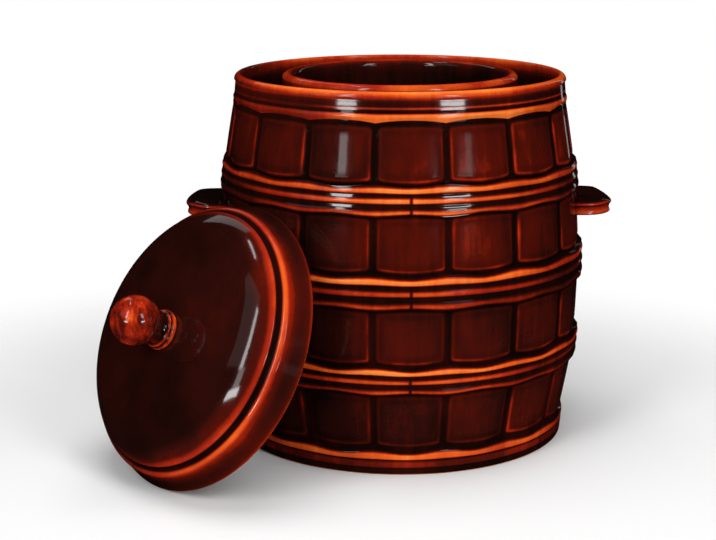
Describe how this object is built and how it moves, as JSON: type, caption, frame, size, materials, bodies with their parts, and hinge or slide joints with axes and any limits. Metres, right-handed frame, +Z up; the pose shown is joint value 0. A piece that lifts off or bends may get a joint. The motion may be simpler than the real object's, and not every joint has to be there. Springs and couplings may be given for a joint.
{
  "type": "water seal pickle jar",
  "caption": "Cask-shaped brown-glazed stoneware fermentation crock with lug handles, a water channel round its neck, a domed lid leaning beside it and half-moon weight stones inside.",
  "frame": {"origin": "centre of the jar's flat foot, on the ground", "axes": "+Z up along the jar's axis; the two lug handles lie on +X and -X; -Y is the front"},
  "size_m": [0.38, 0.3364, 0.2691],
  "materials": {
    "brown_glaze": "gloss",
    "plain_stoneware": "matt"
  },
  "bodies": {
    "jar": {"jar_body": "brown_glaze", "handle_left": "brown_glaze", "handle_right": "brown_glaze"},
    "lid": {"lid_shell": "brown_glaze", "lid_knob": "brown_glaze"},
    "left_stone": {"weight_stone_left": "plain_stoneware"},
    "right_stone": {"weight_stone_right": "plain_stoneware"}
  },
  "joints": [
    {"name": "lid_lift", "type": "slide", "parent": "jar", "child": "lid", "axis": [0, 0, 1], "range_m": [0, 0.3]},
    {"name": "stone_left_lift", "type": "slide", "parent": "jar", "child": "left_stone", "axis": [0, 0, 1], "range_m": [0, 0.28]},
    {"name": "stone_right_lift", "type": "slide", "parent": "jar", "child": "right_stone", "axis": [0, 0, 1], "range_m": [0, 0.28]}
  ]
}
